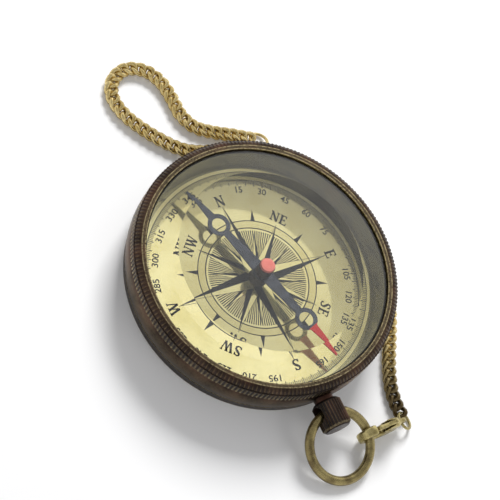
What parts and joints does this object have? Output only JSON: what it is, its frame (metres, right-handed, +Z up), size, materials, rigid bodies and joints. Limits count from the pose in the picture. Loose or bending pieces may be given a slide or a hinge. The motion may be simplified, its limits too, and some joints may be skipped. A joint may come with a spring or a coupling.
{
  "type": "pocket compass",
  "caption": "Round brass pocket compass with a milled screw bezel, domed glass, ribbed crown, swinging bow, lobster clasp and chain.",
  "frame": {"origin": "centre of the round case, on the table that its back rim rests on", "axes": "+Z up through the glass, +Y towards the dial's north, so that the crown and bow point to -Y, and +X towards the dial's east"},
  "size_m": [0.0736, 0.1232, 0.0148],
  "materials": {
    "dark_brass": "darkened antique brass, worn bright on the edges",
    "plate_brass": "polished pale brass",
    "dial_brass": "polished pale brass with black print",
    "wall_brass": "turned dark brass",
    "gasket_rubber": "black rubber",
    "clear_glass": "clear glass with a wide bevel",
    "bare_brass": "turned brass",
    "pin_steel": "hardened steel",
    "blued_steel": "blued steel with one red tip",
    "jewel_stone": "polished red stone",
    "red_cap": "salmon red enamel",
    "wire_brass": "aged olive brass",
    "chain_brass": "golden brass with dark hollows"
  },
  "bodies": {
    "case": {"case_body": "dark_brass", "back_rim": "dark_brass", "back_plate": "plate_brass", "dial": "dial_brass", "spacer_ring": "wall_brass", "gasket": "gasket_rubber", "pivot_foot": "bare_brass", "pivot_pin": "pin_steel", "crown_neck": "dark_brass", "crown": "dark_brass", "chain_near": "chain_brass", "chain_far": "chain_brass", "chain_end_ring": "chain_brass"},
    "glass": {"crystal": "clear_glass"},
    "bezel": {"bezel": "dark_brass"},
    "needle": {"needle": "blued_steel", "needle_hub": "bare_brass", "jewel": "jewel_stone", "hub_cap": "red_cap"},
    "bow": {"bow": "wire_brass"},
    "clasp": {"clasp_body": "wire_brass", "clasp_rivet": "wire_brass", "clasp_spring": "pin_steel", "clasp_ring": "wire_brass"},
    "clasp_lever": {"clasp_lever": "wire_brass"}
  },
  "joints": [
    {"name": "bezel_lift", "type": "slide", "parent": "case", "child": "glass", "axis": [0, 0, 1], "range_m": [0, 0.0012]},
    {"name": "bezel_turn", "type": "hinge", "parent": "glass", "child": "bezel", "pos_m": [0, 0, 0.0105], "axis": [0, 0, 1], "range_deg": [0, 865]},
    {"name": "needle_spin", "type": "hinge", "parent": "case", "child": "needle", "pos_m": [0, 0, 0.0065], "axis": [0, 0, 1], "continuous": true},
    {"name": "bow_swing", "type": "hinge", "parent": "case", "child": "bow", "pos_m": [0, -0.039, 0.0065], "axis": [1, 0, 0], "range_deg": [-120, 85], "deforming": ["chain_near"]},
    {"name": "clasp_swing", "type": "hinge", "parent": "bow", "child": "clasp", "pos_m": [0.0086, -0.04718, 0.00385], "axis": [0, -0.9513, -0.3081], "range_deg": [-90, 140], "deforming": ["chain_near"]},
    {"name": "clasp_gate", "type": "hinge", "parent": "clasp", "child": "clasp_lever", "pos_m": [0.0144, -0.04703, 0.00427], "axis": [0.0268, -0.9996, -0.0002], "range_deg": [0, 22], "stiffness_Nm_per_rad": 0.01, "springref_deg": -17.19, "deforming": ["clasp_spring"]}
  ],
  "couplings": [
    {"joint": "bezel_turn", "follows": "bezel_lift", "rad_per_m": 12566}
  ]
}
